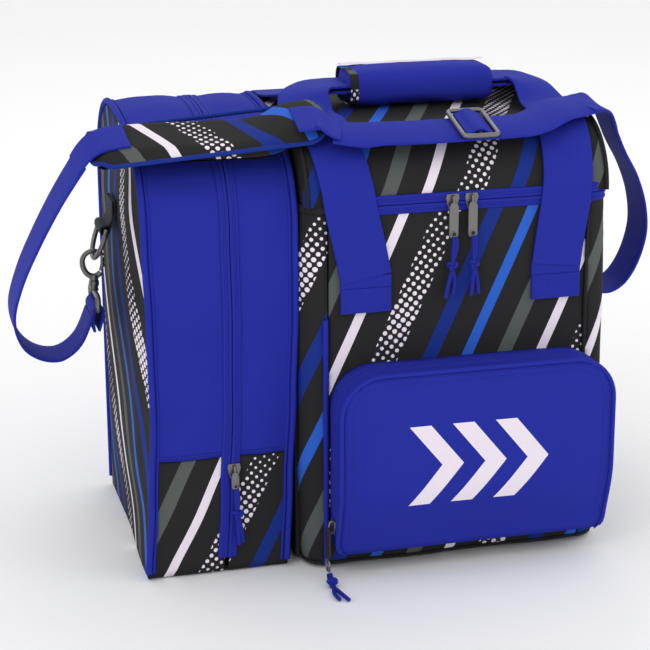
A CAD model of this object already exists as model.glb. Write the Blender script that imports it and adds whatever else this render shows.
"""The looks of a one-ball bowling bag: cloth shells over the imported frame, webbing, zips and metal fittings.

Metres, in the row frame: +Z up, +X right along the front, +Y to the back, origin under the base.
"""

import bisect
import math

import bmesh
import bpy
from mathutils import Matrix, Vector, noise


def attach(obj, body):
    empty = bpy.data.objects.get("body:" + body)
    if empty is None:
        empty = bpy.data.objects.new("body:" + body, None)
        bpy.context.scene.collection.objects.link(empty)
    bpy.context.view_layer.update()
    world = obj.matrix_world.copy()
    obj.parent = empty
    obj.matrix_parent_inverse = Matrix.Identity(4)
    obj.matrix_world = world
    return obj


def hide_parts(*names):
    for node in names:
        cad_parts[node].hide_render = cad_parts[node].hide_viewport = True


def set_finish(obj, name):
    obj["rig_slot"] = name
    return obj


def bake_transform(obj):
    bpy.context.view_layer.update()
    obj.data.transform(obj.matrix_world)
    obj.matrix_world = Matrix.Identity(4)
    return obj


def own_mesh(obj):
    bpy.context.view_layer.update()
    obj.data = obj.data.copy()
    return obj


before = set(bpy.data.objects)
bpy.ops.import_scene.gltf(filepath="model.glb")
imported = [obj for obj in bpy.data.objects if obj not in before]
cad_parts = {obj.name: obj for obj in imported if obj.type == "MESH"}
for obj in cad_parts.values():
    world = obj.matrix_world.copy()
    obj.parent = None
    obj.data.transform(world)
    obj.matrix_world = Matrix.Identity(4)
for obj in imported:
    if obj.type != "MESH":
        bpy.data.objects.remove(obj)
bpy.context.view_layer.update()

ROYAL = (36, 46, 158)
BRIGHT = (46, 98, 202)
NAVY = (26, 50, 138)
BLACK = (40, 40, 41)
GREY = (90, 94, 92)
WHITE = (236, 227, 237)
CLOTH_ROUGHNESS = 0.78
DOTS_PER_METRE = 185

# ---- Materials -------------------------------------------------------------------------------------


def linear(colour):
    """A colour in 0 to 255 as scene-linear values."""
    found = []
    for part in colour:
        c = part / 255
        found.append(c / 12.92 if c <= 0.04045 else ((c + 0.055) / 1.055) ** 2.4)
    return (*found, 1.0)


class Shader:
    """A material's nodes, with short ways to add the few kinds used here."""

    def feed(self, socket, value):
        """A socket takes a value, or a link from another socket."""
        if isinstance(value, bpy.types.NodeSocket):
            self.tree.links.new(value, socket)
        else:
            socket.default_value = value

    def __init__(self, name, colour, roughness, metallic=0.0):
        self.material = bpy.data.materials.new(name)
        self.material.use_nodes = True
        self.tree = self.material.node_tree
        self.surface = self.tree.nodes["Principled BSDF"]
        self.surface.inputs["Base Color"].default_value = linear(colour)
        self.surface.inputs["Roughness"].default_value = roughness
        self.surface.inputs["Metallic"].default_value = metallic
        self.surface.inputs["Specular IOR Level"].default_value = 0.5 if metallic else 0.12

    def node(self, kind, **inputs):
        made = self.tree.nodes.new("ShaderNode" + kind)
        for key, value in inputs.items():
            self.feed(made.inputs[key.replace("_", " ")], value)
        return made

    def math(self, operation, one, two=0.0):
        made = self.tree.nodes.new("ShaderNodeMath")
        made.operation = operation
        self.feed(made.inputs[0], one)
        self.feed(made.inputs[1], two)
        return made.outputs[0]

    def uv(self, scale=(1, 1, 1), turn=0.0):
        coordinate = self.node("TexCoord").outputs["UV"]
        return self.node("Mapping", Vector=coordinate, Scale=scale, Rotation=(0, 0, turn)).outputs[0]

    def place(self):
        return self.node("TexCoord").outputs["Object"]

    def bump(self, height, strength, distance=0.0004):
        made = self.node("Bump", Height=height, Strength=strength, Distance=distance)
        self.tree.links.new(made.outputs[0], self.surface.inputs["Normal"])

    def mix(self, factor, one, two):
        made = self.tree.nodes.new("ShaderNodeMix")
        made.data_type = "RGBA"
        for index, value in ((0, factor), (6, one), (7, two)):
            self.feed(made.inputs[index], value)
        return made.outputs[2]

    def colour_from(self, socket):
        self.tree.links.new(socket, self.surface.inputs["Base Color"])


def cloth(name, colour, shade=0.86):
    """Woven polyester: a fine weave and a soft unevenness in its colour."""
    s = Shader(name, colour, CLOTH_ROUGHNESS)
    weave = s.node("TexNoise", Vector=s.place(), Scale=1500.0, Detail=1.0).outputs[0]
    cloud = s.node("TexNoise", Vector=s.place(), Scale=22.0, Detail=3.0).outputs[0]
    dark = tuple(c * shade for c in linear(colour)[:3]) + (1.0,)
    s.colour_from(s.mix(cloud, dark, linear(colour)))
    s.bump(weave, 0.25)
    return s.material


def dotted(name, ground, dot):
    """Rows of round dots that shrink and grow across the cloth."""
    s = Shader(name, ground, CLOTH_ROUGHNESS)
    flat = s.uv((DOTS_PER_METRE, DOTS_PER_METRE, 1), math.radians(38))
    split = s.node("SeparateXYZ", Vector=flat)
    u = s.math("SUBTRACT", s.math("FRACT", split.outputs[0]), 0.5)
    v = s.math("SUBTRACT", s.math("FRACT", split.outputs[1]), 0.5)
    away = s.math("SQRT", s.math("ADD", s.math("MULTIPLY", u, u), s.math("MULTIPLY", v, v)))
    drift = s.node("TexNoise", Vector=s.uv((14, 14, 1)), Scale=1.0, Detail=0.0).outputs[0]
    radius = s.math("ADD", s.math("MULTIPLY", drift, 0.62), -0.02)
    inside = s.math("LESS_THAN", away, radius)
    s.colour_from(s.mix(inside, linear(ground), linear(dot)))
    s.bump(s.node("TexNoise", Vector=s.place(), Scale=1500.0).outputs[0], 0.25)
    return s.material


def ribbed(name, colour, pitch=0.0021):
    """Webbing: ribs run along its length, which is the first direction of its flat coordinates."""
    s = Shader(name, colour, 0.72)
    split = s.node("SeparateXYZ", Vector=s.uv())
    across = s.math("SINE", s.math("MULTIPLY", split.outputs[1], 2 * math.pi / pitch))
    along = s.math("SINE", s.math("MULTIPLY", split.outputs[0], 2 * math.pi / 0.0012))
    rough = s.node("TexNoise", Vector=s.place(), Scale=900.0).outputs[0]
    weave = s.math("ADD", across, s.math("MULTIPLY", along, 0.4))
    height = s.math("ADD", s.math("MULTIPLY", weave, 0.35), rough)
    dark = tuple(c * 0.86 for c in linear(colour)[:3]) + (1.0,)
    s.colour_from(s.mix(s.math("MULTIPLY_ADD", across, 0.25), dark, linear(colour)))
    s.bump(height, 0.35)
    return s.material


def metal(name, colour, roughness):
    s = Shader(name, colour, roughness, metallic=0.9)
    wear = s.node("TexNoise", Vector=s.place(), Scale=160.0, Detail=4.0).outputs[0]
    dull = s.math("ADD", s.math("MULTIPLY", wear, 0.22), roughness - 0.08)
    s.tree.links.new(dull, s.surface.inputs["Roughness"])
    return s.material


def grained(name, colour, roughness, scale, strength):
    s = Shader(name, colour, roughness)
    s.bump(s.node("TexNoise", Vector=s.place(), Scale=scale, Detail=3.0).outputs[0], strength)
    return s.material


BLUE_CLOTH = cloth("royal_cloth", ROYAL)
LINING = cloth("lining", (36, 36, 40))
INKS = {
    "dark": cloth("print_black", BLACK),
    "white": cloth("print_white", WHITE, 0.97),
    "grey": cloth("print_grey", GREY),
    "bright": cloth("print_bright_blue", BRIGHT, 0.95),
    "navy": cloth("print_navy", NAVY),
    "dots": dotted("print_dots", BLACK, WHITE),
    "royal": BLUE_CLOTH,
}
INK_NUMBER = {name: number for number, name in enumerate(INKS)}
PRINT_DARK = INKS["dark"]
WEBBING = ribbed("webbing", ROYAL)
DARK_WEBBING = ribbed("tab_webbing", (52, 53, 60))
PIPING = cloth("piping", ROYAL, 0.9)
ZIP_TAPE = ribbed("zip_tape", (37, 46, 158), 0.0009)
COIL = grained("zip_coil", (30, 38, 130), 0.45, 1400.0, 0.6)
CORD = ribbed("cord", ROYAL, 0.0014)
THREAD = cloth("thread", (52, 62, 176))
NICKEL = metal("nickel", (122, 121, 119), 0.34)
DARK_METAL = metal("gunmetal", (90, 90, 91), 0.38)
RUBBER = grained("rubber", (48, 48, 50), 0.55, 500.0, 0.2)
FOAM = grained("foam", (54, 54, 60), 0.95, 700.0, 0.5)
BOARD = grained("board", (46, 46, 48), 0.7, 300.0, 0.2)


# ---- Building blocks -------------------------------------------------------------------------------
def link(name, data, body, replaced=(), slot=None):
    """A new object in the scene, which rides the body where one is given."""
    obj = bpy.data.objects.new(name, data)
    bpy.context.scene.collection.objects.link(obj)
    if body:
        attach(obj, body)
    if replaced:
        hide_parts(*replaced)
    if slot:
        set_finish(obj, slot)
    return obj


def mesh_from(name, bm, *materials):
    mesh = bpy.data.meshes.new(name)
    bm.to_mesh(mesh)
    bm.free()
    for material in materials:
        mesh.materials.append(material)
    return mesh


def spread(low, high, steps):
    """Even stops from low to high."""
    return [low + (high - low) * i / steps for i in range(steps + 1)]


def smooth_path(points, per_span):
    """A Catmull-Rom curve through the points, which may have any number of parts each."""
    size = len(points[0])
    ends = [points[0]] + list(points) + [points[-1]]
    found = []
    for a, b, c, d in zip(ends, ends[1:], ends[2:], ends[3:]):
        for i in range(per_span):
            t = i / per_span
            place = []
            for k in range(size):
                cubic = -a[k] + 3 * b[k] - 3 * c[k] + d[k]
                square = 2 * a[k] - 5 * b[k] + 4 * c[k] - d[k]
                place.append(0.5 * (2 * b[k] + (c[k] - a[k]) * t + square * t * t + cubic * t**3))
            found.append(tuple(place))
    return found + [tuple(points[-1])]


def ease(t):
    t = min(max(t, 0.0), 1.0)
    return t * t * (3 - 2 * t)


def turned_in(edge, radius):
    """How far a rounded edge of this radius falls away, this far from where it ends."""
    reach = max(0.0, radius - edge)
    return radius - math.sqrt(max(0.0, radius**2 - reach**2))


def between(value, table):
    """Eased values between the stops of a table of (stop, value)."""
    if value <= table[0][0]:
        return table[0][1]
    for (a, one), (b, two) in zip(table, table[1:]):
        if value <= b:
            return one + (two - one) * ease((value - a) / (b - a))
    return table[-1][1]


def arc(centre, radius, start, stop, steps):
    found = []
    for angle in spread(start, stop, steps):
        a = math.radians(angle)
        found.append((centre[0] + radius * math.cos(a), centre[1] + radius * math.sin(a)))
    return found


def round_rectangle(left, bottom, right, top, radius, steps=6):
    found = []
    for u, v, start in ((right - radius, top - radius, 0), (left + radius, top - radius, 90),
                        (left + radius, bottom + radius, 180), (right - radius, bottom + radius, 270)):
        found += arc((u, v), radius, start, start + 90, steps)
    return found


class Line:
    """A path in a plane, measured by its own length, with a normal that points outside."""

    def __init__(self, points, side=1):
        self.points = [Vector(p) for p in points]
        self.stops = [0.0]
        for a, b in zip(self.points, self.points[1:]):
            self.stops.append(self.stops[-1] + (b - a).length)
        self.length = self.stops[-1]
        self.normals = []
        for i in range(len(points)):
            run = self.points[min(i + 1, len(points) - 1)] - self.points[max(i - 1, 0)]
            run.normalize()
            self.normals.append(Vector((-run.y * side, run.x * side)))

    def at(self, s):
        s = min(max(s, 0.0), self.length)
        i = min(max(bisect.bisect_right(self.stops, s) - 1, 0), len(self.points) - 2)
        span = self.stops[i + 1] - self.stops[i]
        t = (s - self.stops[i]) / span if span else 0.0
        point = self.points[i].lerp(self.points[i + 1], t)
        return point, self.normals[i].lerp(self.normals[i + 1], t).normalized()


def inside(point, polygon):
    """True where the point lies inside the polygon."""
    found = False
    for (x1, y1), (x2, y2) in zip(polygon, polygon[1:] + polygon[:1]):
        if (y1 > point.y) != (y2 > point.y):
            if point.x < (x2 - x1) * (point.y - y1) / (y2 - y1) + x1:
                found = not found
    return found


def cut_grid(bm, low, high, cell):
    for axis in (0, 1):
        size = high[axis] - low[axis]
        count = max(1, math.ceil(size / cell))
        for i in range(1, count):
            co = Vector((0, 0, 0))
            co[axis] = low[axis] + size * i / count
            no = Vector((0, 0, 0))
            no[axis] = 1.0
            geom = bm.verts[:] + bm.edges[:] + bm.faces[:]
            bmesh.ops.bisect_plane(bm, geom=geom, plane_co=co, plane_no=no, dist=1e-7)


def cut_shape(bm, polygon):
    """Cuts the flat mesh along the polygon's edges, near the polygon only."""
    low_u, high_u = min(p[0] for p in polygon), max(p[0] for p in polygon)
    low_v, high_v = min(p[1] for p in polygon), max(p[1] for p in polygon)
    for (x1, y1), (x2, y2) in zip(polygon, polygon[1:] + polygon[:1]):
        if math.hypot(x2 - x1, y2 - y1) < 1e-5:
            continue
        near = []
        for face in bm.faces:
            us = [v.co.x for v in face.verts]
            vs = [v.co.y for v in face.verts]
            if max(us) > low_u and min(us) < high_u and max(vs) > low_v and min(vs) < high_v:
                near.append(face)
        parts = set(near)
        for face in near:
            parts.update(face.verts)
            parts.update(face.edges)
        normal = Vector((y2 - y1, x1 - x2, 0)).normalized()
        bmesh.ops.bisect_plane(bm, geom=list(parts), plane_co=(x1, y1, 0), plane_no=normal, dist=1e-6)


def panel(name, body, surface, outline, shards=(), base="dark", cell=0.006, thick=0.002, flip=False,
          replaced=(), slot="printed_cloth"):
    """A cloth panel: a flat pattern, cut along its printed shapes and laid on a surface."""
    low = (min(p[0] for p in outline), min(p[1] for p in outline))
    high = (max(p[0] for p in outline), max(p[1] for p in outline))
    bm = bmesh.new()
    bm.faces.new([bm.verts.new((u, v, 0)) for u, v in outline])
    cut_grid(bm, low, high, cell)
    for ink, polygon in shards:
        cut_shape(bm, polygon)
    for face in bm.faces:
        face.material_index = INK_NUMBER[base]
        face.smooth = True
        centre = face.calc_center_median()
        for ink, polygon in shards:
            if inside(centre, polygon):
                face.material_index = INK_NUMBER[ink]
    flat = bm.loops.layers.uv.new("UVMap")
    for face in bm.faces:
        for loop in face.loops:
            loop[flat].uv = loop.vert.co.xy
    for vert in bm.verts:
        vert.co = surface(vert.co.x, vert.co.y)
    if flip:
        bmesh.ops.reverse_faces(bm, faces=bm.faces)
    obj = link(name, mesh_from(name, bm, *INKS.values(), LINING), body, replaced, slot)
    if thick:
        solid = obj.modifiers.new("thickness", "SOLIDIFY")
        solid.thickness = thick
        solid.offset = -1
        solid.material_offset = len(INKS)
    return obj


BARS = (("bright", 0.009), ("grey", 0.012), ("white", 0.008), ("dots", 0.022), ("navy", 0.012))
BAR_LEAN, BAR_GAP = 0.45, 0.020


def bars(left, right, low, high):
    """A plain repeating print: evenly spaced leaning bars that reach a little past the cloth's edges."""
    left, right, low, high = left - 0.002, right + 0.002, low - 0.004, high + 0.004
    run = BAR_LEAN * (high - low)
    x, shards = left - run, []
    while x < right:
        ink, wide = BARS[len(shards) % len(BARS)]
        shards.append((ink, [(x, low), (x + wide, low), (x + wide + run, high), (x + run, high)]))
        x += wide + BAR_GAP
    return shards


def rectangle(left, bottom, right, top):
    return [(left, bottom), (right, bottom), (right, top), (left, top)]


def skin(name, rings, body, material, replaced=(), slot=None, uv=None):
    """A smooth, closed form through rings of points; each ring has the same number of them."""
    bm = bmesh.new()
    flat = bm.loops.layers.uv.new("UVMap")
    rows = [[bm.verts.new(p) for p in ring] for ring in rings]
    count = len(rows[0])
    for i, (one, two) in enumerate(zip(rows, rows[1:])):
        for k in range(count):
            after = (k + 1) % count
            face = bm.faces.new((one[k], one[after], two[after], two[k]))
            face.smooth = True
            if uv:
                for loop, (a, b) in zip(face.loops, ((i, k), (i, k + 1), (i + 1, k + 1), (i + 1, k))):
                    loop[flat].uv = (uv[0][a], uv[1][b])
    bm.faces.new(rows[0][::-1])
    bm.faces.new(rows[-1])
    bmesh.ops.recalc_face_normals(bm, faces=bm.faces)
    mesh = mesh_from(name, bm, material)
    mesh.set_sharp_from_angle(angle=math.radians(50))
    return link(name, mesh, body, replaced, slot)


def strap(name, body, stations, wide, thick, sides, per_span=6, material=WEBBING, replaced=(), bows=None):
    """Webbing with rounded edges through the stations; sides are the ways its width runs at each."""
    bows = bows or [0.0] * len(stations)
    rows = [(*p, *s, b) for p, s, b in zip(stations, sides, bows)]
    line = smooth_path(rows, per_span)
    points = [Vector(r[:3]) for r in line]
    run_length = [0.0]
    for a, b in zip(points, points[1:]):
        run_length.append(run_length[-1] + (b - a).length)
    half = thick / 2
    section = [(-1.0, 0.0), (-0.985, 0.8), (-0.93, 1.0), (-0.5, 1.0), (0.0, 1.0), (0.5, 1.0), (0.93, 1.0),
               (0.985, 0.8)]
    section += [(-u, -v) for u, v in section]
    rings = []
    before = None
    for i, row in enumerate(line):
        run = (points[min(i + 1, len(points) - 1)] - points[max(i - 1, 0)]).normalized()
        side = Vector(row[3:6])
        side = (side - run * side.dot(run)).normalized()
        up = run.cross(side)
        if before is not None and up.dot(before) < 0:
            up = -up
        elif before is None and up.z < 0 and abs(up.z) > 0.3:
            up = -up
        before = up
        rings.append([points[i] + side * (wide / 2 * u) + up * (half * v - row[6] * u * u)
                      for u, v in section])
    across = [u * 0.02 for u, v in section] + [section[0][0] * 0.02]
    return skin(name, rings, body, material, replaced, "webbing", uv=(run_length, across))


def tube(name, points, radius, body, material, closed=False, radii=None, replaced=(), slot="metal"):
    """A round bar along points, as a curve with a bevel."""
    curve = bpy.data.curves.new(name, "CURVE")
    curve.dimensions = "3D"
    curve.bevel_depth = radius
    curve.bevel_resolution = 4
    curve.use_fill_caps = True
    spline = curve.splines.new("POLY")
    spline.points.add(len(points) - 1)
    for i, point in enumerate(points):
        spline.points[i].co = (*point, 1.0)
        spline.points[i].radius = radii[i] if radii else 1.0
    spline.use_cyclic_u = closed
    spline.use_smooth = True
    curve.materials.append(material)
    return link(name, curve, body, replaced, slot)


def solid(name, outline, put, low, high, body, material, bevel, replaced=()):
    """A flat metal part with rounded edges; put turns (u, v, depth) into a place."""
    bm = bmesh.new()
    under, over = [[bm.verts.new(put(u, v, depth)) for u, v in outline] for depth in (low, high)]
    count = len(outline)
    for k in range(count):
        after = (k + 1) % count
        bm.faces.new((under[k], under[after], over[after], over[k]))
    bm.faces.new(under)
    bm.faces.new(over)
    bmesh.ops.recalc_face_normals(bm, faces=bm.faces)
    mesh = mesh_from(name, bm, material)
    mesh.shade_smooth()
    mesh.set_sharp_from_angle(angle=math.radians(40))
    obj = link(name, mesh, body, replaced, "metal")
    if bevel:
        edge = obj.modifiers.new("edges", "BEVEL")
        edge.width = bevel
        edge.segments = 3
        edge.limit_method = "ANGLE"
        edge.angle_limit = math.radians(50)
    return obj


def sweep(name, line, start, stop, step, profile, put, body, material, replaced=(), slot="zip_tape"):
    """A closed profile of (along the tape's width, outward) swept along a line."""
    lengths = spread(start, stop, max(2, int((stop - start) / step)))
    rings = []
    for s in lengths:
        point, normal = line.at(s)
        rings.append([put(point, normal, h, out) for h, out in profile])
    across = [h for h, out in profile] + [profile[0][0]]
    return skin(name, rings, body, material, replaced=replaced, slot=slot, uv=(lengths, across))


STITCH_PITCH, STITCH_LENGTH, STITCH_RADIUS = 0.0034, 0.0021, 0.00032


def stitches(name, points, body):
    """A row of thread stitches along points, each a short bar."""
    bm = bmesh.new()
    travelled = 0.0
    due = STITCH_PITCH / 2
    for a, b in zip(points, points[1:]):
        a, b = Vector(a), Vector(b)
        length = (b - a).length
        if length < 1e-7:
            continue
        turn = (b - a).to_track_quat("Z", "Y").to_matrix().to_4x4()
        while due < travelled + length:
            centre = a.lerp(b, (due - travelled) / length)
            bmesh.ops.create_cone(bm, cap_ends=True, segments=6, radius1=STITCH_RADIUS,
                                  radius2=STITCH_RADIUS, depth=STITCH_LENGTH,
                                  matrix=Matrix.Translation(centre) @ turn)
            due += STITCH_PITCH
        travelled += length
    mesh = mesh_from(name, bm, THREAD)
    mesh.shade_smooth()
    return link(name, mesh, body, slot="cord")


def set_in(line, steps, by):
    """Points along the line, moved in from it."""
    found = []
    for s in spread(0.0, line.length, steps):
        point, normal = line.at(s)
        found.append(tuple(point - normal * by))
    return found


def final_mesh(obj):
    graph = bpy.context.evaluated_depsgraph_get()
    mesh = bpy.data.meshes.new_from_object(obj.evaluated_get(graph))
    obj.modifiers.clear()
    obj.data = mesh
    return obj


def repaint(node, material):
    """A CAD node that stays in view takes this material."""
    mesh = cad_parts[node].data
    mesh.materials.clear()
    mesh.materials.append(material)


# ---- Camera, light and floor -----------------------------------------------------------------------
def add_camera():
    data = bpy.data.cameras.new("camera")
    data.lens = 108.4
    data.sensor_width = 36
    data.shift_x = -0.047
    data.shift_y = -0.02
    camera = link("camera", data, None)
    turn, tilt = math.radians(-15.5), math.radians(16.8)
    back = Vector((math.sin(turn) * math.cos(tilt), -math.cos(turn) * math.cos(tilt), math.sin(tilt)))
    camera.location = Vector((0.01, 0, 0.17)) + back * 1.6
    camera.rotation_euler = (-back).to_track_quat("-Z", "Y").to_euler()
    bpy.context.scene.camera = camera


def add_area(name, place, size, power):
    data = bpy.data.lights.new(name, "AREA")
    data.shape = "DISK"
    data.size = size
    data.energy = power
    light = link(name, data, None)
    light.location = place
    light.rotation_euler = (Vector((0.0, 0.0, 0.15)) - Vector(place)).to_track_quat("-Z", "Y").to_euler()


def add_stage():
    world = bpy.data.worlds.new("studio")
    world.use_nodes = True
    world.node_tree.nodes["Background"].inputs["Color"].default_value = (1, 1, 1, 1)
    world.node_tree.nodes["Background"].inputs["Strength"].default_value = 0.95
    bpy.context.scene.world = world
    bpy.context.scene.view_settings.view_transform = "Standard"
    add_area("key", (-1.3, -1.7, 1.9), 1.4, 8)
    add_area("fill", (1.6, -1.2, 1.0), 1.6, 3)
    add_area("rim", (0.4, 1.6, 1.7), 1.2, 4)
    bm = bmesh.new()
    bmesh.ops.create_grid(bm, x_segments=1, y_segments=1, size=6)
    floor = link("floor", mesh_from("floor", bm, grained("floor", (248, 248, 248), 0.9, 2.0, 0.0)), None)
    floor.location = (0, 0, -0.0004)


# ---- Cords on the pulls ----------------------------------------------------------------------------
def knot(name, centre, size, body):
    """An overhand knot: a trefoil of cord."""
    points = []
    for i in range(40):
        t = 2 * math.pi * i / 40
        across = math.sin(t) + 2 * math.sin(2 * t)
        along = math.cos(t) - 2 * math.cos(2 * t)
        points.append(Vector(centre) + Vector((across, -math.sin(3 * t) * 1.2, along)) * size)
    return tube(name, points, 0.0014, body, CORD, closed=True, slot="cord")


def add_cord(name, body, node, route, tail, knot_at, loop):
    """A pull cord: one strand of its real length, its second tail, its knot and its loop."""
    line = smooth_path(route, 8)
    strand = tube(name, line, 0.0016, body, CORD, replaced=[node], slot="cord")
    other = tube(name + "_tail", smooth_path(tail, 8), 0.0015, body, CORD, slot="cord")
    held = tube(name + "_loop", smooth_path(loop, 6), 0.0013, body, CORD, slot="cord")
    tied = knot(name + "_knot", knot_at, 0.0011, body)
    length = sum((Vector(b) - Vector(a)).length for a, b in zip(line, line[1:]))
    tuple(line[0])


def add_cords():
    for side, x, lean in (("left", 0.0520, -0.0040), ("right", 0.0670, 0.0012)):
        y = -0.1262
        route = [(x, y, 0.2615), (x + lean * 0.2, y - 0.0006, 0.2500), (x + lean * 0.5, y - 0.0004, 0.2360),
                 (x + lean * 0.8 - 0.0012, y, 0.2250), (x + lean - 0.0022, y, 0.2150)]
        tail = [(x + lean * 0.5 + 0.0008, y - 0.0004, 0.2375), (x + lean * 0.6 + 0.0030, y, 0.2270),
                (x + lean + 0.0034, y + 0.0004, 0.2165)]
        loop = [(x + 0.0012, y - 0.0010, 0.2620), (x + 0.0018, y - 0.0014, 0.2560),
                (x + lean * 0.3 + 0.0012, y - 0.0010, 0.2460)]
        add_cord(f"main_{side}_pull_cord", f"main_{side}_pull", f"main_pull_cord_{side}", route, tail,
                 (x + lean * 0.4, y - 0.0008, 0.2400), loop)
    y = -0.1126
    route = [(-0.1160, y, 0.0718), (-0.1156, y, 0.0600), (-0.1150, y, 0.0480), (-0.1146, y, 0.0370),
             (-0.1140, y, 0.0260)]
    tail = [(-0.1140, y, 0.0490), (-0.1122, y, 0.0390), (-0.1110, y, 0.0280)]
    loop = [(-0.1148, y - 0.001, 0.0722), (-0.1140, y - 0.0012, 0.0640), (-0.1146, y - 0.001, 0.0560)]
    add_cord("shoe_pull_cord_strand", "shoe_zip_pull", "shoe_pull_cord", route, tail,
             (-0.1148, y - 0.0008, 0.0510), loop)
    route = [(-0.0495, -0.1375, 0.0034), (-0.0505, -0.1435, 0.0024), (-0.0515, -0.1535, 0.0020),
             (-0.0485, -0.1675, 0.0020), (-0.0455, -0.1815, 0.0020)]
    tail = [(-0.0500, -0.1550, 0.0022), (-0.0530, -0.1670, 0.0020), (-0.0520, -0.1790, 0.0020)]
    loop = [(-0.0478, -0.1375, 0.0040), (-0.0485, -0.1430, 0.0030), (-0.0500, -0.1500, 0.0026)]
    add_cord("pocket_pull_cord_strand", "pocket_zip_pull", "pocket_pull_cord", route, tail,
             (-0.0508, -0.1530, 0.0042), loop)


# ---- Ball compartment ------------------------------------------------------------------------------
LEFT, RIGHT, DEEP, CORNER = -0.0620, 0.1800, 0.1180, 0.0180
RIM = 0.2862
PLAN_POINTS = [(LEFT + CORNER, -DEEP)]
PLAN_POINTS += arc((RIGHT - CORNER, -DEEP + CORNER), CORNER, 270, 360, 10)
PLAN_POINTS += arc((RIGHT - CORNER, DEEP - CORNER), CORNER, 0, 90, 10)
PLAN_POINTS += arc((LEFT + CORNER, DEEP - CORNER), CORNER, 90, 180, 10)
PLAN_POINTS += arc((LEFT + CORNER, -DEEP + CORNER), CORNER, 180, 270, 10)
PLAN = Line(PLAN_POINTS, side=-1)
PLAN_START = LEFT + CORNER
SEAMS = (PLAN_START, 0.1620, 0.4186, 0.6246, PLAN_START + PLAN.length)


def wall(u, z, out=0.0):
    """The ball compartment's outside. u is X on the front and runs on round the bag to the right."""
    point, normal = PLAN.at(u - PLAN_START)
    near = min(abs(u - seam) for seam in SEAMS)
    full = 0.0018 if u < 0.1620 else 0.0030
    up = min(max(z / RIM, 0.0), 1.0)
    puff = full * math.sin(math.pi * up) ** 0.6 * ease(near / 0.026)
    creep = noise.noise(Vector((u * 16, z * 11, 3.0))) * 0.0011 * ease(near / 0.02)
    fold = 0.0007 * math.sin((u * 0.6 + z) * 95) * ease((0.09 - z) / 0.08) * ease(near / 0.03)
    off = puff + creep + fold - 0.8 * turned_in(z, 0.010) + out
    return Vector((point.x + normal.x * off, point.y + normal.y * off, z))


def add_ball_compartment():
    seam = 0.0006
    names = ("front", "right_end", "back", "left_end")
    for name, start, stop in zip(names, SEAMS, SEAMS[1:]):
        shards = bars(start, stop, 0.0, 0.286)
        outline = rectangle(start + seam, 0.0012, stop - seam, RIM)
        panel(f"ball_{name}_wall", "bag_body", wall, outline, shards, thick=0.0030,
              replaced=[f"main_{name}_panel"])
    base = round_rectangle(LEFT + 0.008, -DEEP + 0.007, RIGHT - 0.007, DEEP - 0.007, 0.014)
    panel("ball_base", "bag_body", lambda u, v: Vector((u, v, 0.0042)), base, thick=0.0038,
          replaced=["main_base_panel"])
    start = SEAMS[0] - 0.0022 + PLAN.length
    points = [wall(start, z, 0.0014) for z in spread(0.004, 0.203, 30)]
    tube("ball_left_piping", points, 0.0021, "bag_body", PIPING, replaced=["main_left_piping"],
         slot="piping")
    points = [wall(SEAMS[1], z, 0.0008) for z in spread(0.010, 0.282, 30)]
    tube("ball_right_piping", points, 0.0014, "bag_body", PRINT_DARK, replaced=["main_right_piping"],
         slot="piping")
    for name, u in (("back_right", SEAMS[2]), ("back_left", SEAMS[3])):
        points = [wall(u, z, 0.0012) for z in spread(0.004, 0.282, 30)]
        tube(f"ball_{name}_piping", points, 0.0021, "bag_body", PIPING, slot="piping")
    edge = [wall(PLAN_START + s, 0.0042, 0.0004) for s in spread(0.0, PLAN.length, 200)[:-1]]
    tube("ball_base_seam", edge, 0.0013, "bag_body", PRINT_DARK, closed=True, slot="printed_cloth")
    repaint("base_board", BOARD)
    repaint("ball_cup", FOAM)


# ---- Lid and main zip ------------------------------------------------------------------------------
TOP, FOOT, BEND = 0.3400, 0.2892, 0.0510
LID_POINTS = [(-DEEP, FOOT)] + arc((-DEEP + BEND, TOP - BEND), BEND, 180, 90, 16)[1:]
LID_POINTS += arc((DEEP - BEND, TOP - BEND), BEND, 90, 0, 16)
LID_LINE = Line(LID_POINTS)


def lid(u, v, out=0.0):
    """The lid's outside: u is X and v runs over it from its front foot to its back one."""
    point, normal = LID_LINE.at(v)
    edge = min(u - LEFT, RIGHT - u)
    clear = ease((v - 0.10) / 0.05) * ease((LID_LINE.length - v) / 0.05)
    puff = 0.0016 * clear * math.sin(math.pi * min(max((u - LEFT) / (RIGHT - LEFT), 0), 1)) ** 0.5
    creep = noise.noise(Vector((u * 17, v * 14, 9.0))) * 0.0007 * ease(edge / 0.02)
    off = puff + creep - turned_in(edge, 0.0060) + out
    return Vector((u, point.x + normal.x * off, point.y + normal.y * off))


def end_cap(x, crown):
    """An end of the lid at an X, which swells by its crown."""
    def surface(y, z):
        clear = min(DEEP - abs(y), TOP - z, z - FOOT + 0.020)
        return Vector((x + crown * ease(clear / 0.030), y, z))
    return surface


def add_lid():
    outline = rectangle(LEFT + 0.0004, 0.0, RIGHT - 0.0004, LID_LINE.length)
    shards = bars(LEFT, RIGHT, 0.0, LID_LINE.length)
    panel("lid_shell", "lid", lid, outline, shards, thick=0.0028, replaced=["lid_panel"])
    path = set_in(LID_LINE, 60, 0.0052)
    shards = bars(-0.120, 0.120, 0.288, TOP)
    panel("lid_right_cap", "lid", end_cap(RIGHT - 0.0010, 0.0034), path, shards, flip=True,
          replaced=["lid_right_end"])
    panel("lid_left_cap", "lid", end_cap(LEFT + 0.0008, 0.0), path, replaced=["lid_left_end"])
    for name, u, node in (("lid_right_seam", RIGHT - 0.0030, ["lid_right_piping"]),
                          ("lid_left_seam", LEFT + 0.0026, [])):
        points = [lid(u, v, 0.0012) for v in spread(0.0, LID_LINE.length, 80)]
        tube(name, points, 0.0016, "lid", PRINT_DARK, replaced=node, slot="piping")


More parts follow.
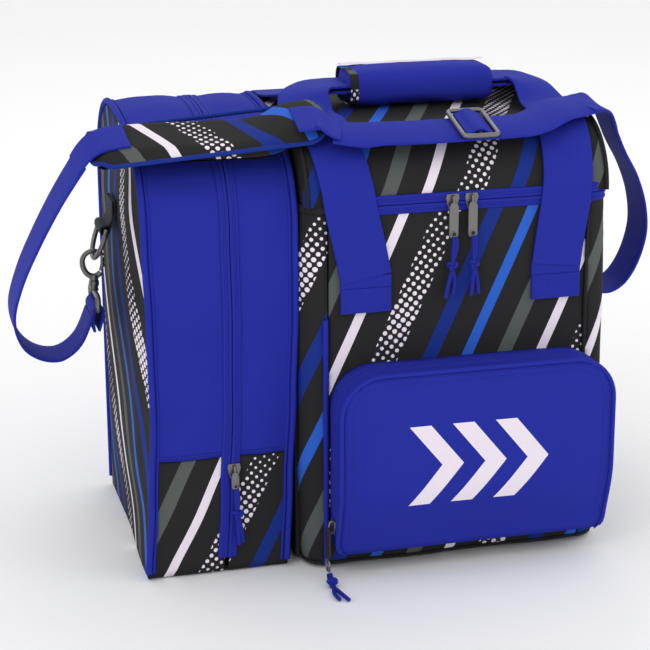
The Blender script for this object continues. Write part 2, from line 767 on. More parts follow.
TAPE = [(0.0, 0.0003), (0.0, 0.0017), (0.0005, 0.0021), (0.0021, 0.0021), (0.0025, 0.0014),
        (0.0043, 0.0013), (0.0047, 0.0018), (0.0061, 0.0018), (0.0068, 0.0012), (0.0070, 0.0003)]
TEETH = [(0.0002, -0.0009), (0.0002, 0.0002), (0.0016, 0.0002), (0.0016, -0.0009)]


def zip_halves(name, line, start, stop, step, place, halves):
    """A coil zip's two tapes; place turns (point, normal, across, out) into a place."""
    for half, way, body, replaced in halves:
        def put(point, normal, h, out, way=way):
            return place(point, normal, way * (0.0003 + h), out)
        sweep(f"{name}_zip_{half}", line, start, stop, step, TAPE, put, body, ZIP_TAPE, replaced)
        sweep(f"{name}_coil_{half}", line, start, stop, step, TEETH, put, body, COIL)


MAIN_SPLIT = 0.2880


def add_main_zip():
    front, bend, side = 0.2060, 0.0283, 0.1900
    start, stop = 0.0040, front + bend + side

    def place(point, normal, across, out):
        return Vector((point.x + normal.x * out, point.y + normal.y * out, MAIN_SPLIT + across))
    zip_halves("main", PLAN, start, stop, 0.004, place,
               (("body", -1, "bag_body", ["main_zip_body_tape"]), ("lid", 1, "lid", ["main_zip_lid_tape"])))

    def hinge(point, normal, h, out):
        return Vector((point.x + normal.x * out, point.y + normal.y * out, 0.2894 - h))
    fold = [(0.0, 0.0001), (0.0, 0.0012), (0.0052, 0.0012), (0.0052, 0.0001)]
    sweep("lid_hinge_strip", PLAN, stop + 0.0020, PLAN.length, 0.006, fold, hinge, "bag_body", PRINT_DARK,
          slot="printed_cloth")


def facing_front(x, y, z):
    """Turns (u, v, depth) into a place on a part that faces the front."""
    return lambda u, v, depth: Vector((x + u, y - depth, z + v))


def facing_left(x, y, z):
    return lambda u, v, depth: Vector((x - depth, y + u, z + v))


def slider(name, body, node, put):
    """A coil zip's slider: two plates joined by a neck, with a bridge for the pull."""
    plate = [(-0.0046, 0.0060), (-0.0054, 0.0030), (-0.0046, 0.0000), (-0.0030, -0.0060),
             (0.0030, -0.0060), (0.0046, 0.0000), (0.0054, 0.0030), (0.0046, 0.0060)]
    solid(name + "_plate", plate, put, 0.0003, 0.0019, body, NICKEL, 0.0005, replaced=[node])
    points = [put(0, v, d) for v, d in smooth_path([(0.0045, 0.0016), (0.0042, 0.0036), (0.0015, 0.0046),
                                                    (-0.0020, 0.0046), (-0.0042, 0.0034),
                                                    (-0.0044, 0.0016)], 4)]
    tube(name + "_bridge", points, 0.0011, body, NICKEL)


def pull(name, body, node, put, wide, long, material=NICKEL):
    """A pull tab: a bar with an eye at the slider, and a round hole at its far end."""
    neck = [(-wide / 2, -0.0020), (-wide * 0.3, 0.0012), (wide * 0.3, 0.0012), (wide / 2, -0.0020)]
    foot = arc((0, -long + wide / 2), wide / 2, 0, -180, 10)
    outline = neck + foot
    solid(name + "_bar", outline, put, 0.0030, 0.0050, body, material, 0.0006, replaced=[node])
    hole = [put(u, v, 0.0051) for u, v in arc((0, -long + wide * 0.52), wide * 0.27, 0, 345, 23)]
    tube(name + "_hole", hole, 0.0006, body, material, closed=True)
    dark = arc((0, -long + wide * 0.52), wide * 0.24, 0, 345, 23)
    solid(name + "_eye", dark, put, 0.0046, 0.0052, body, RUBBER, 0.0)


def add_main_pulls():
    for side, x in (("left", 0.0520), ("right", 0.0670)):
        name = f"main_{side}"
        slider(f"{name}_slider_body", f"{name}_slider", f"main_slider_{side}",
               facing_front(x, -0.1193, MAIN_SPLIT))
        pull(f"{name}_pull_tab", f"{name}_pull", f"main_pull_{side}", facing_front(x, -0.1201, 0.2868),
             0.0074, 0.0268)


# ---- Shoe compartment ------------------------------------------------------------------------------
SHOE_L, SHOE_R, SHOE_DEEP, SHOE_ZIP = -0.1805, -0.0640, 0.1050, -0.1160
SHOE_POINTS = [(-SHOE_DEEP, 0.0010)] + arc((-0.0500, 0.2750), 0.0550, 180, 105, 12)
SHOE_POINTS += smooth_path([(-0.0642, 0.3281), (-0.0400, 0.3360), (-0.0150, 0.3415), (0.0100, 0.3446),
                            (0.0400, 0.3450)], 5)[1:-1]
SHOE_POINTS += arc((0.0400, 0.2800), 0.0650, 90, 0, 14) + [(SHOE_DEEP, 0.0010)]
SHOE_LINE = Line(SHOE_POINTS)
OUTER_LEAN = [(0.0, -0.0040), (0.06, 0.0), (0.13, 0.0030), (0.20, 0.0020), (0.27, 0.0)]
INNER_LEAN = [(0.0, -0.0090), (0.07, -0.0060), (0.14, -0.0025), (0.21, 0.0)]


def shoe_lean(share, y, z):
    """The lean of the front seams, from the outer one (share 0) to the inner one (share 1)."""
    return (between(z, OUTER_LEAN) * (1 - share) + between(z, INNER_LEAN) * share) * ease((0.02 - y) / 0.10)


def shoe(u, v, out=0.0):
    """The shoe compartment's gusset: u is X and v runs over it from the front foot to the back one."""
    point, normal = SHOE_LINE.at(v)
    share = (u - SHOE_L) / (SHOE_R - SHOE_L)
    z = point.y
    near = min(abs(u - SHOE_L), abs(u - SHOE_R), abs(u - SHOE_ZIP))
    under_pad = ease((point.x + 0.030) / 0.04) if z > 0.30 else 1.0
    puff = 0.0022 * ease(near / 0.024) * under_pad * ease(z / 0.05)
    creep = noise.noise(Vector((u * 20, v * 12, 5.0))) * 0.0010 * ease(near / 0.018) * under_pad
    off = puff + creep - 0.7 * turned_in(z, 0.008) + out
    return Vector((u + shoe_lean(share, point.x, z), point.x + normal.x * off, z + normal.y * off))


def shoe_end(y, z):
    """The end panel, which bulges where the shoes push it out."""
    reach = 1 - abs(y) / 0.105
    tall = min(z / 0.06, 1.0) * min((0.345 - z) / 0.07, 1.0)
    swell = ease(reach * 2.2) * ease(tall)
    bulge = between(z, [(0.0, 0.001), (0.10, 0.0050), (0.21, 0.0072), (0.27, 0.0052), (0.33, 0.001)]) * swell
    creep = noise.noise(Vector((y * 15, z * 12, 1.0))) * 0.0012 * swell
    return Vector((SHOE_L + 0.0006 + shoe_lean(0.0, y, z) - bulge - creep, y, z))


def add_shoe_compartment():
    seam_at = 0.0955
    length = SHOE_LINE.length
    parts = (("outer", SHOE_L + 0.0022, SHOE_ZIP - 0.0018, "shoe_flap", "shoe_outer_gusset"),
             ("inner", SHOE_ZIP + 0.0018, SHOE_R - 0.0008, "bag_body", "shoe_inner_gusset"))
    for side, low, high, body, node in parts:
        outline = rectangle(low, 0.0, high, seam_at - 0.0004)
        shards = bars(SHOE_L, SHOE_R, 0.0, 0.098)
        panel(f"shoe_{side}_foot", body, shoe, outline, shards, thick=0.0028)
        outline = rectangle(low, seam_at + 0.0004, high, length)
        panel(f"shoe_{side}_gusset_cloth", body, lambda u, v: shoe(u, v, 0.0008), outline, base="royal",
              thick=0.0032, replaced=[node], slot="blue_cloth")
        hem = [shoe(u, seam_at + 0.0036, 0.0014) for u in spread(low, high, 20)]
        stitches(f"shoe_{side}_hem", hem, body)
    path = set_in(SHOE_LINE, 120, 0.0020)
    panel("shoe_end_cloth", "shoe_flap", shoe_end, path, bars(-0.106, 0.106, 0.0, 0.346), thick=0.0026,
          replaced=["shoe_end_panel"])
    base = round_rectangle(SHOE_L + 0.001, -SHOE_DEEP + 0.005, SHOE_R - 0.008, SHOE_DEEP - 0.005, 0.006)
    panel("shoe_base", "bag_body", lambda u, v: Vector((u, v, 0.0040)), base, thick=0.0036,
          replaced=["shoe_base_panel"])
    for side, x, body, node in (("outer", SHOE_L + 0.0008, "shoe_flap", "shoe_outer_piping"),
                                ("inner", SHOE_R - 0.0022, "bag_body", "shoe_inner_piping")):
        stops = spread(0.0, length, 140)[1:-1]
        points = [shoe(x, v, 0.0012) for v in stops]
        tube(f"shoe_{side}_piping_cord", points, 0.0024, body, PIPING, replaced=[node], slot="piping")
        shift = 0.0040 if side == "outer" else -0.0042
        points = [shoe(x + shift, v, 0.0008) for v in stops]
        tube(f"shoe_{side}_piping_fold", points, 0.0011, body, BLUE_CLOTH, slot="piping")
    repaint("shoe_divider", LINING)


def add_shoe_zip():
    start, stop = 0.0130, SHOE_LINE.length - 0.0130

    def place(point, normal, across, out):
        lift = out + 0.0006
        x = SHOE_ZIP + shoe_lean(0.55, point.x, point.y) + across
        return Vector((x, point.x + normal.x * lift, point.y + normal.y * lift))
    zip_halves("shoe", SHOE_LINE, start, stop, 0.005, place,
               (("inner", 1, "bag_body", ["shoe_zip_inner_tape"]),
                ("outer", -1, "shoe_flap", ["shoe_zip_outer_tape"])))
    slider("shoe_slider_body", "shoe_zip_slider", "shoe_slider", facing_front(SHOE_ZIP, -0.1070, 0.0850))
    pull("shoe_pull_tab", "shoe_zip_pull", "shoe_pull", facing_front(SHOE_ZIP, -0.1080, 0.0838),
         0.0062, 0.0130)


# ---- Front pocket ----------------------------------------------------------------------------------
POCKET_L, POCKET_R, POCKET_B, POCKET_T, POCKET_BEND = -0.0430, 0.1730, 0.0195, 0.1660, 0.0320
POCKET_BACK, POCKET_SPLIT, POCKET_FRONT = -0.1190, -0.1355, -0.1540
POCKET_FOOT = 0.0100
POCKET_POINTS = arc((POCKET_L + POCKET_FOOT, POCKET_B + POCKET_FOOT), POCKET_FOOT, 270, 180, 5)
POCKET_POINTS += arc((POCKET_L + POCKET_BEND, POCKET_T - POCKET_BEND), POCKET_BEND, 180, 90, 12)
POCKET_POINTS += arc((POCKET_R - POCKET_BEND, POCKET_T - POCKET_BEND), POCKET_BEND, 90, 0, 12)
POCKET_POINTS += arc((POCKET_R - POCKET_FOOT, POCKET_B + POCKET_FOOT), POCKET_FOOT, 0, -90, 5)
POCKET_LINE = Line(POCKET_POINTS)


def pocket_taper(z):
    """How far the pocket's front falls back towards its foot."""
    return 0.0150 * (1 - ease((z - 0.0120) / 0.0700))


def pocket_side(v, y):
    """The pocket's gusset: v runs over its outline and y is its depth."""
    point, normal = POCKET_LINE.at(v)
    if y < POCKET_SPLIT:
        y += pocket_taper(point.y) * (y - POCKET_SPLIT) / (POCKET_FRONT - POCKET_SPLIT)
    near = min(abs(y - POCKET_BACK), abs(y - POCKET_SPLIT), abs(y - POCKET_FRONT))
    off = 0.0010 * ease(near / 0.008) + noise.noise(Vector((v * 22, y * 40, 2.0))) * 0.0006
    return Vector((point.x + normal.x * off, y, point.y + normal.y * off))


def pocket_front(x, z):
    """The pocket's front, full in the middle, with soft folds at its left and lower edges."""
    clear = min(x - POCKET_L, POCKET_R - x, z - POCKET_B, POCKET_T - z)
    crown = 0.0050 * ease(clear / 0.050)
    fold = 0.0009 * math.sin((x - POCKET_L) * 330) * ease((0.036 - (x - POCKET_L)) / 0.030)
    fold *= ease((clear + 0.002) / 0.010)
    creep = noise.noise(Vector((x * 14, z * 12, 7.0))) * 0.0013 * ease(clear / 0.030)
    return Vector((x, POCKET_FRONT + pocket_taper(z) - 0.0016 - crown - fold - creep, z))


def chevron(x, z, tall, wide, thick):
    """A plain bent bar that points right."""
    return [(x, z + tall / 2), (x + thick, z + tall / 2), (x + thick + wide, z), (x + thick, z - tall / 2),
            (x, z - tall / 2), (x + wide, z)]


def add_pocket():
    length = POCKET_LINE.length
    outline = rectangle(0.0, POCKET_SPLIT + 0.0018, length, POCKET_BACK)
    panel("pocket_rear_side", "bag_body", pocket_side, outline, base="royal", thick=0.0020,
          replaced=["pocket_rear_gusset"], slot="blue_cloth")
    outline = rectangle(0.0, POCKET_FRONT, length, POCKET_SPLIT - 0.0018)
    panel("pocket_front_side", "pocket_flap", pocket_side, outline, base="royal", thick=0.0020,
          replaced=["pocket_front_gusset"], slot="blue_cloth")
    path = set_in(POCKET_LINE, 100, 0.0006)
    motif = [("white", chevron(x, 0.094, 0.064, 0.026, 0.017)) for x in (0.008, 0.042, 0.076)]
    panel("pocket_front_cloth", "pocket_flap", pocket_front, path, motif, base="royal", cell=0.005,
          thick=0.0024, flip=True, replaced=["pocket_front_panel"], slot="blue_cloth")
    points = []
    stops = spread(0.0, length, 120)
    for v in stops[2:-2]:
        point, normal = POCKET_LINE.at(v)
        y = POCKET_FRONT + pocket_taper(point.y) - 0.0014
        points.append(Vector((point.x + normal.x * 0.0006, y, point.y + normal.y * 0.0006)))
    tube("pocket_piping_cord", points, 0.0017, "pocket_flap", PIPING, replaced=["pocket_piping"],
         slot="piping")
    row = []
    for v in stops[4:-4]:
        point, normal = POCKET_LINE.at(v)
        inner = point - normal * 0.0075
        row.append(pocket_front(inner.x, inner.y) - Vector((0, 0.0002, 0)))
    stitches("pocket_edge_stitches", row, "pocket_flap")

    def place(point, normal, across, out):
        lift = out - 0.0004
        return Vector((point.x + normal.x * lift, POCKET_SPLIT + across, point.y + normal.y * lift))
    zip_halves("pocket", POCKET_LINE, 0.004, length - 0.004, 0.005, place,
               (("rear", 1, "bag_body", ()), ("front", -1, "pocket_flap", ())))
    front = POCKET_FRONT + pocket_taper(POCKET_B) + 0.0006
    outline = rectangle(POCKET_L + 0.0090, front, POCKET_R - 0.0090, POCKET_BACK)
    panel("pocket_floor_cloth", "bag_body", lambda u, v: Vector((u, v, POCKET_B + 0.0022)), outline,
          base="royal", thick=0.0016, replaced=["pocket_floor"], slot="blue_cloth")
    slider("pocket_slider_body", "pocket_zip_slider", "pocket_slider",
           facing_left(POCKET_L - 0.0008, POCKET_SPLIT, 0.0420))
    pull("pocket_puller", "pocket_zip_pull", "pocket_pull",
         facing_left(POCKET_L - 0.0022, POCKET_SPLIT, 0.0412), 0.0112, 0.0255, RUBBER)
    circle = [(-0.0495, u, v) for u, v in arc((POCKET_SPLIT, 0.0109), 0.0050, 0, 350, 35)]
    tube("pocket_split_ring", circle, 0.0009, "pocket_zip_pull", NICKEL, closed=True,
         replaced=["pocket_pull_ring"])


# ---- Carry handles ---------------------------------------------------------------------------------
LEGS = (-0.0155, 0.1360)
HINGE = 0.2335
WRAP_WIDE, WRAP_TALL, WRAP_BEND, WRAP_MID = 0.0250, 0.0140, 0.0108, 0.3575
WRAP_POINTS = round_rectangle(-WRAP_WIDE, -WRAP_TALL, WRAP_WIDE, WRAP_TALL, WRAP_BEND, 6)[::-1]
WRAP_LINE = Line(WRAP_POINTS + [WRAP_POINTS[-1]], side=-1)


def handle_stations(back):
    """Points and width directions of a handle, from its left foot through the wrap to its right foot."""
    mid = WRAP_MID + (-0.0022 if back else 0.0022)
    half = [(0.0, -0.1214, HINGE), (-0.0028, -0.1214, 0.2480), (-0.0065, -0.1214, 0.2650),
            (-0.0110, -0.1214, 0.2840), (-0.0135, -0.1205, 0.3000)]
    bend = arc((-0.0670, 0.2890), 0.0540, 158, 110, 4)
    half += [(-0.0150 - 0.0016 * i, y, z) for i, (y, z) in enumerate(bend)]
    half += [(-0.0222, -0.0640, 0.3442), (-0.0250, -0.0440, 0.3462), (-0.0228, -0.0220, mid - 0.0040),
             (-0.0110, -0.0060, mid - 0.0004), (0.0040, -0.0005, mid), (0.0200, 0.0, mid)]
    sign = -1 if back else 1
    left = [(LEGS[0] + x, sign * y, z) for x, y, z in half]
    right = [(LEGS[1] - x * (1.0 if x > 0 else 0.6), sign * y, z) for x, y, z in reversed(half)]
    turn = [0.0] * (len(half) - 6) + [0.05, 0.2, 0.5, 0.85, 1.0, 1.0]
    across = Vector((1, 0, 0))
    deep = Vector((0, -sign, 0))
    first = [across.lerp(deep, t) for t in turn]
    return left + right, first + [(-across).lerp(deep, t) for t in reversed(turn)]


def add_handle(name, back, hinge_body, node):
    stations, sides = handle_stations(back)
    obj = strap(name, None, stations, 0.0400, 0.0022, sides, per_span=5, replaced=[node])
    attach(obj, hinge_body)
    sign = 1 if back else -1
    low = 0.2070
    for side, leg in zip(("left", "right"), LEGS):
        at = SEAMS[2] + (RIGHT - CORNER - leg) if back else leg
        for part, wide, foot, head, out in (("under", 0.0400, low, HINGE + 0.0020, 0.0013),
                                            ("fold", 0.0392, low + 0.0002, low + 0.0190, 0.0027)):
            points = [(leg, wall(at, z, out).y, z) for z in spread(foot, head, 5)]
            thick = 0.0022 if part == "under" else 0.0014
            strap(f"{name}_{side}_{part}", "bag_body", points, wide, thick, [(1, 0, 0)] * 6, per_span=3)
        row = []
        for u, v in ((-0.017, low + 0.003), (0.017, low + 0.003), (0.017, low + 0.016),
                     (-0.017, low + 0.016), (-0.017, low + 0.003)):
            row.append((leg + u, wall(at, v).y + sign * 0.0036, v))
        stitches(f"{name}_{side}_box_stitch", row, "bag_body")
    return obj


def soft_solid(name, rings, voxel, pressure, limit, material):
    """A stuffed piece: a closed form, inflated as cloth, kept within a limit of where it began."""
    obj = skin(name, rings, None, material)
    remesh = obj.modifiers.new("remesh", "REMESH")
    remesh.mode = "VOXEL"
    remesh.voxel_size = voxel
    final_mesh(obj)
    rest = [v.co.copy() for v in obj.data.vertices]
    physics = obj.modifiers.new("cloth", "CLOTH")
    settings = physics.settings
    settings.use_pressure = True
    settings.uniform_pressure_force = pressure
    settings.effector_weights.gravity = 0.0
    settings.quality = 6
    settings.mass = 0.15
    physics.point_cache.frame_start = 1
    physics.point_cache.frame_end = 16
    for step in range(1, 17):
        bpy.context.scene.frame_set(step)
    final_mesh(obj)
    bpy.context.scene.frame_set(1)
    for vert, start in zip(obj.data.vertices, rest):
        moved = vert.co - start
        if moved.length > limit:
            vert.co = start + moved.normalized() * limit
    finer = obj.modifiers.new("smooth", "SUBSURF")
    finer.levels = 1
    finer.render_levels = 1
    final_mesh(obj)
    obj.data.shade_smooth()
    obj.data.materials.clear()
    obj.data.materials.append(material)
    return obj


def wrap_binding(u, v):
    """The bound left edge of the grip, with v running round the grip."""
    point, normal = WRAP_LINE.at(v % WRAP_LINE.length)
    return Vector((0.62 * u, point.x + normal.x * 0.0007, WRAP_MID + point.y + normal.y * 0.0007))


def add_wrap():
    """The grip: a padded flap rolled round both handles, with its bound and printed edges."""
    low, high = 0.0005, 0.1180
    rings = []
    for t in spread(0.0, 1.0, 24):
        end = 1 - 0.10 * (1 - ease(min(t, 1 - t) / 0.06))
        wide, tall = WRAP_WIDE * end, WRAP_TALL * end
        outline = round_rectangle(-wide, -tall, wide, tall, WRAP_BEND * end, 5)
        rings.append([Vector((low + (high - low) * t, u, WRAP_MID + v)) for u, v in outline])
    grip = soft_solid("grip_wrap", rings, 0.0040, 3.0, 0.0016, BLUE_CLOTH)
    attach(grip, "front_handle")
    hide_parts("handle_wrap")
    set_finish(grip, "blue_cloth")
    bands = []
    for i, ink in enumerate(("bright", "white", "dots", "grey", "bright")):
        foot = 0.008 + 0.024 * i
        bands.append((ink, rectangle(0.0, foot, 0.010, foot + 0.010)))
    outline = rectangle(0.0, 0.0, 0.010, WRAP_LINE.length)
    binding = panel("grip_left_binding", "front_handle", wrap_binding, outline, bands, cell=0.003,
                    thick=0.0012)
    rings = []
    for x in spread(0.0, 0.1186, 40):
        wave = 0.0004 * math.sin(x * 160)
        rings.append([Vector((x, u, WRAP_MID + v + wave)) for u, v in
                      ((0.0085, 0.0146), (0.0095, 0.0158), (0.0160, 0.0154), (0.0170, 0.0140))])
    edge = skin("grip_flap_edge", rings, "front_handle", INKS["white"], slot="printed_cloth")
    return [grip, final_mesh(binding), edge]


def add_handles():
    front = add_handle("front_handle_strap", False, "front_handle", "front_handle_webbing")
    back = add_handle("back_handle_strap", True, "back_handle", "back_handle_webbing")
    for piece in [front] + add_wrap():
        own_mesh(piece)
    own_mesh(back)


# ---- Shoulder strap --------------------------------------------------------------------------------
PAD_STATIONS = [(-0.2130, -0.0775, 0.3310, 14, 0.0), (-0.1800, -0.0775, 0.3362, 14, 0.0),
                (-0.1200, -0.0775, 0.3362, 14, 0.0010), (-0.0850, -0.0775, 0.3385, 14, 0.0030),
                (-0.0640, -0.0775, 0.3482, 14, 0.0055), (-0.0360, -0.0790, 0.3505, 16, 0.0055)]
PAD_PATH = smooth_path(PAD_STATIONS, 12)


def pad_frame(x):
    """The pad's centre, its way across (down to the front), its upward way and its bow at an X."""
    i = 0
    while i < len(PAD_PATH) - 2 and PAD_PATH[i + 1][0] < x:
        i += 1
    a, b = PAD_PATH[i], PAD_PATH[i + 1]
    t = min(max((x - a[0]) / (b[0] - a[0]), -0.5), 1.5)
    row = [one + (two - one) * t for one, two in zip(a, b)]
    slope = math.radians(row[3])
    before, after = PAD_PATH[max(i - 3, 0)], PAD_PATH[min(i + 4, len(PAD_PATH) - 1)]
    run = (Vector(after[:3]) - Vector(before[:3])).normalized()
    side = Vector((0, -math.cos(slope), -math.sin(slope)))
    side = (side - run * side.dot(run)).normalized()
    up = run.cross(side)
    if up.z < 0:
        up = -up
    return Vector(row[:3]), side, up, row[4]


def pad_top(x, v, lift=0.0):
    centre, side, up, bow = pad_frame(x)
    edge = min(0.0320 - abs(v), x + 0.2140, -0.0350 - x)
    crown = 0.0008 + 0.0054 * ease(edge / 0.012)
    creep = noise.noise(Vector((x * 26, v * 30, 4.0))) * 0.0008 * ease(edge / 0.012)
    high = crown + creep + lift - bow * (v / 0.032) ** 2
    return centre + side * v + up * high


def pad_low(x, v):
    centre, side, up, bow = pad_frame(x)
    edge = min(0.0320 - abs(v), x + 0.2140, -0.0350 - x)
    return centre + side * v + up * (-0.0006 - 0.0022 * ease(edge / 0.008) - bow * (v / 0.032) ** 2)


def add_pad():
    outline = round_rectangle(-0.2135, -0.0320, -0.0355, 0.0320, 0.0200, 8)
    top = panel("pad_top_cloth", None, pad_top, outline, bars(-0.214, -0.036, -0.030, 0.030), cell=0.004,
                thick=0, flip=True, slot="padding")
    low = panel("pad_under_cloth", None, pad_low, outline, cell=0.005, thick=0, slot="padding")
    bpy.ops.object.select_all(action="DESELECT")
    top.select_set(True)
    low.select_set(True)
    bpy.context.view_layer.objects.active = top
    bpy.ops.object.join()
    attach(top, "strap_pad")
    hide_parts("shoulder_pad")
    loop = [pad_top(u, v, -0.0008) for u, v in outline]
    binding = to_mesh(tube("pad_binding", loop, 0.0017, None, INKS["navy"], closed=True, slot="piping"))
    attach(binding, "strap_pad")
    tongue = [pad_top(x, 0.0150, 0.0012) for x in (-0.0620, -0.0560, -0.0500, -0.0440)]
    tongue += [Vector((-0.0360, -0.0985, 0.3456)), Vector((-0.0290, -0.1003, 0.3432))]
    right = strap("pad_right_tongue", "strap_pad", tongue, 0.0370, 0.0022,
                  [tilted(16)] * len(tongue), per_span=4)
    tongue = [pad_top(x, 0.0, 0.0014) for x in (-0.1850, -0.1950, -0.2040)]
    tongue += [Vector((-0.2130, -0.0772, 0.3354)), Vector((-0.2190, -0.0755, 0.3288)),
               Vector((-0.2240, -0.0732, 0.3206))]
    left = strap("pad_left_tongue", "strap_pad", tongue, 0.0370, 0.0022,
                 [(0, -0.97, -0.24)] * len(tongue), per_span=4)
    for piece in (top, binding, right, left):
        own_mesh(piece)


def to_mesh(obj):
    """A curve object turned into a mesh object of the same name."""
    graph = bpy.context.evaluated_depsgraph_get()
    mesh = bpy.data.meshes.new_from_object(obj.evaluated_get(graph))
    name, slot = obj.name, obj.get("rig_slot")
    bpy.data.objects.remove(obj)
    return link(name, mesh, None, slot=slot)


def tilted(angle):
    a = math.radians(angle)
    return (0.0, -math.cos(a), -math.sin(a))


def add_strap():
    middle = [(-0.0350, -0.0995, 0.3436, 16, 0.0020), (-0.0160, -0.1030, 0.3408, 16, 0.0020),
              (0.0000, -0.1042, 0.3412, 14, 0.0020), (0.0300, -0.1052, 0.3408, 14, 0.0020),
              (0.0700, -0.1050, 0.3411, 14, 0.0020), (0.1050, -0.1050, 0.3414, 13, 0.0020),
              (0.1200, -0.1031, 0.3430, 13, 0.0022), (0.1450, -0.0890, 0.3484, 11, 0.0022),
              (0.1650, -0.0780, 0.3486, 9, 0.0016), (0.1780, -0.0722, 0.3480, 7, 0.0006)]
    strap("strap_over_lid", "lid", [s[:3] for s in middle], 0.0380, 0.0023, [tilted(s[3]) for s in middle],
          bows=[s[4] for s in middle], replaced=["strap_middle"])
    right = [(0.1680, -0.0768, 0.3480), (0.1780, -0.0722, 0.3476), (0.1870, -0.0670, 0.3450),
             (0.1950, -0.0600, 0.3380), (0.2030, -0.0510, 0.3265),
             (0.2160, -0.0400, 0.3060), (0.2340, -0.0250, 0.2810), (0.2470, -0.0140, 0.2550),
             (0.2530, -0.0060, 0.2280), (0.2490, -0.0020, 0.2030), (0.2390, 0.0, 0.1840),
             (0.2250, 0.0, 0.1760), (0.2120, 0.0, 0.1790), (0.2058, 0.0, 0.1905)]
    sides = [Vector(tilted(7)).lerp(Vector((0, -1, 0)), i / 13) for i in range(14)]
    strap("strap_right_hang", "bag_body", right, 0.0380, 0.0023, sides,
          replaced=["strap_right_arc"])
    left = [(-0.2182, -0.0750, 0.3278), (-0.2262, -0.0712, 0.3146), (-0.2375, -0.0640, 0.2940),
            (-0.2510, -0.0510, 0.2640), (-0.2630, -0.0355, 0.2310), (-0.2690, -0.0215, 0.2000),
            (-0.2635, -0.0110, 0.1750), (-0.2495, -0.0040, 0.1600), (-0.2320, 0.0, 0.1560),
            (-0.2170, 0.0, 0.1670), (-0.2072, 0.0, 0.1880)]
    sides = [Vector(tilted(14)).lerp(Vector((0, -1, 0)), min(1.0, i / 7)) for i in range(11)]
    hang = strap("strap_left_hang", None, left, 0.0380, 0.0023, sides,
                 replaced=["strap_left_arc"])
    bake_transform(hang)


def add_triglide():
    """The slide buckle: a rounded wire frame and its middle bar, with the strap threaded through."""
    centre = Vector((0.0720, -0.1050, 0.3411))
    tilt = Matrix.Rotation(math.radians(14), 3, "X")

    def put(u, v, depth):
        return centre + tilt @ Vector((u, v, depth))
    frame_line = [put(u, v, 0.0030) for u, v in round_rectangle(-0.0135, -0.0222, 0.0135, 0.0222, 0.0035, 5)]
    tube("buckle_frame", frame_line, 0.0019, "strap_adjuster", NICKEL, closed=True, replaced=["tri_glide"])
    tube("buckle_bar", [put(0, v, 0.0034) for v in (-0.0215, 0, 0.0215)], 0.0015, "strap_adjuster", NICKEL)
    stations = [put(u, 0, d) for u, d in ((-0.0100, 0.0020), (-0.0060, 0.0032), (-0.0025, 0.0056),
                                          (0.0025, 0.0056), (0.0060, 0.0032), (0.0100, 0.0020))]
    side = tilt @ Vector((0, 1, 0))
    strap("buckle_threaded_strap", "strap_adjuster", stations, 0.0370, 0.0020,
          [side] * 6, per_span=4)


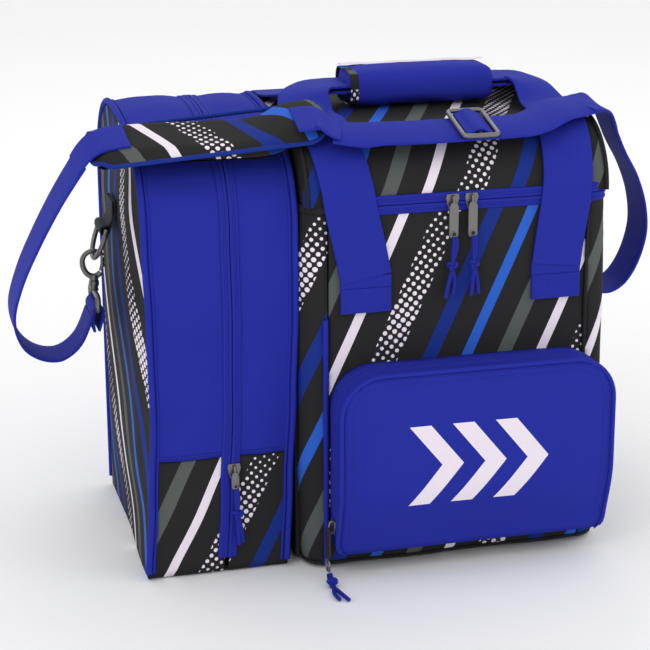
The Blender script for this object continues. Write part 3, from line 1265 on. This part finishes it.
def add_strap_hardware(side, base, out, anchor):
    ring_x = base + out * 0.0135
    lean = math.radians(20)
    sine, cosine = out * math.sin(lean), math.cos(lean)
    bow = [(0.0190, 0.0), (0.0190, 0.0065)]
    bow += [(0.0190 * math.cos(math.radians(a)), 0.0065 + 0.0190 * math.sin(math.radians(a)))
            for a in range(15, 180, 15)]
    bow += [(-0.0190, 0.0065), (-0.0190, 0.0)]
    loop = [(ring_x + t * sine, y, 0.2560 - t * cosine) for y, t in bow]
    tube(f"{side}_ring_wire", loop, 0.0020, f"{side}_ring", NICKEL, closed=True,
         replaced=[f"{side}_d_ring"])

    bulge = 0.0050 if side == "left" else 0.0026
    tab = [(bulge + 0.0004, 0.2790), (bulge + 0.0006, 0.2700), (0.0102, 0.2606), (0.0128, 0.2595),
           (0.0160, 0.2590), (0.0172, 0.2560), (0.0160, 0.2528), (0.0128, 0.2524), (0.0104, 0.2545),
           (bulge + 0.0030, 0.2620), (bulge + 0.0024, 0.2700), (bulge + 0.0022, 0.2790)]
    if side == "left":
        tab = [(u + 0.0004, z) for u, z in tab]
    points = [(base + out * u, 0.0, z) for u, z in tab]
    strap(f"{side}_tab", anchor, points, 0.0300, 0.0014, [(0, 1, 0)] * len(points), per_span=4,
          material=DARK_WEBBING, replaced=[f"{side}_ring_tab"])
    row = [(base + out * (bulge + 0.0034), y, 0.2740) for y in (-0.0120, 0.0120)]
    stitches(f"{side}_tab_stitch", row, anchor)

    hook_x = ring_x + 0.0255 * sine
    bow_z = 0.2560 - 0.0255 * cosine
    mid = bow_z - 0.0036
    points = []
    radii = []
    for i in range(33):
        t = i / 32
        a = math.radians(-130 + 280 * t)
        tall = 0.0085 if a > 0 else 0.0120
        points.append((hook_x + out * 0.0085 * math.cos(a), 0.0, mid + tall * math.sin(a)))
        radii.append(1.15 - 0.30 * t)
    tube(f"{side}_hook_bow", points, 0.0021, f"{side}_clip", NICKEL, radii=radii,
         replaced=[f"{side}_hook"])
    foot, tip = Vector(points[0]), Vector(points[-1])
    run = (tip - foot).normalized()
    line = [foot + run * 0.0016, foot.lerp(tip, 0.5) - Vector((out * 0.0006, 0, 0)), tip - run * 0.0014]
    tube(f"{side}_gate_bar", smooth_path(line, 5), 0.0015, f"{side}_clip_gate", NICKEL,
         replaced=[f"{side}_gate"])
    knob = foot.lerp(tip, 0.40)
    tube(f"{side}_gate_knob", [knob, knob - Vector((out * 0.0030, 0, 0))], 0.0012, f"{side}_clip_gate",
         DARK_METAL)
    barrel_top = mid - 0.0115
    tube(f"{side}_hook_barrel", [(hook_x, 0, barrel_top + 0.0010), (hook_x, 0, barrel_top - 0.0030)],
         0.0036, f"{side}_clip", NICKEL)
    eye_top = barrel_top - 0.0023
    profile = [(0.0, 0.0012), (0.0028, 0.0012), (0.0040, 0.0), (0.0040, -0.0030), (0.0030, -0.0050),
               (0.0036, -0.0075), (0.0, -0.0085)]
    rings = []
    for r, z in profile:
        rings.append([Vector((hook_x + max(r, 0.0001) * math.cos(2 * math.pi * k / 20),
                              max(r, 0.0001) * math.sin(2 * math.pi * k / 20), eye_top + z - 0.0020))
                      for k in range(20)])
    skin(f"{side}_swivel_neck", rings, f"{side}_swivel", NICKEL, slot="metal")
    shoulder, low = eye_top - 0.0080, eye_top - 0.0230
    outline = round_rectangle(-0.0212, low + 0.0019, 0.0212, shoulder - 0.0018, 0.0042, 6)
    tube(f"{side}_eye_wire", [(hook_x, u, v) for u, v in outline], 0.0021, f"{side}_swivel", NICKEL,
         closed=True, replaced=[f"{side}_swivel_eye"])
    stations = [(hook_x + out * 0.0030, 0.0, low - 0.0155), (hook_x + out * 0.0040, 0.0, low - 0.0030),
                (hook_x + out * 0.0036, 0.0, low + 0.0020), (hook_x, 0.0, low + 0.0050),
                (hook_x - out * 0.0036, 0.0, low + 0.0020), (hook_x - out * 0.0038, 0.0, low - 0.0040),
                (hook_x - out * 0.0006, 0.0, low - 0.0150)]
    strap(f"{side}_strap_loop", f"{side}_swivel", stations, 0.0370, 0.0020, [(0, 1, 0)] * 7, per_span=5)


# ---- Assembly --------------------------------------------------------------------------------------
def write_size():
    bpy.context.view_layer.update()


add_camera()
add_cords()
add_stage()
add_ball_compartment()
add_lid()
add_main_zip()
add_main_pulls()
add_shoe_compartment()
add_shoe_zip()
add_pocket()
add_handles()
add_pad()
add_strap()
add_triglide()
add_strap_hardware("left", SHOE_L, -1, "shoe_flap")
add_strap_hardware("right", RIGHT, 1, "bag_body")
write_size()
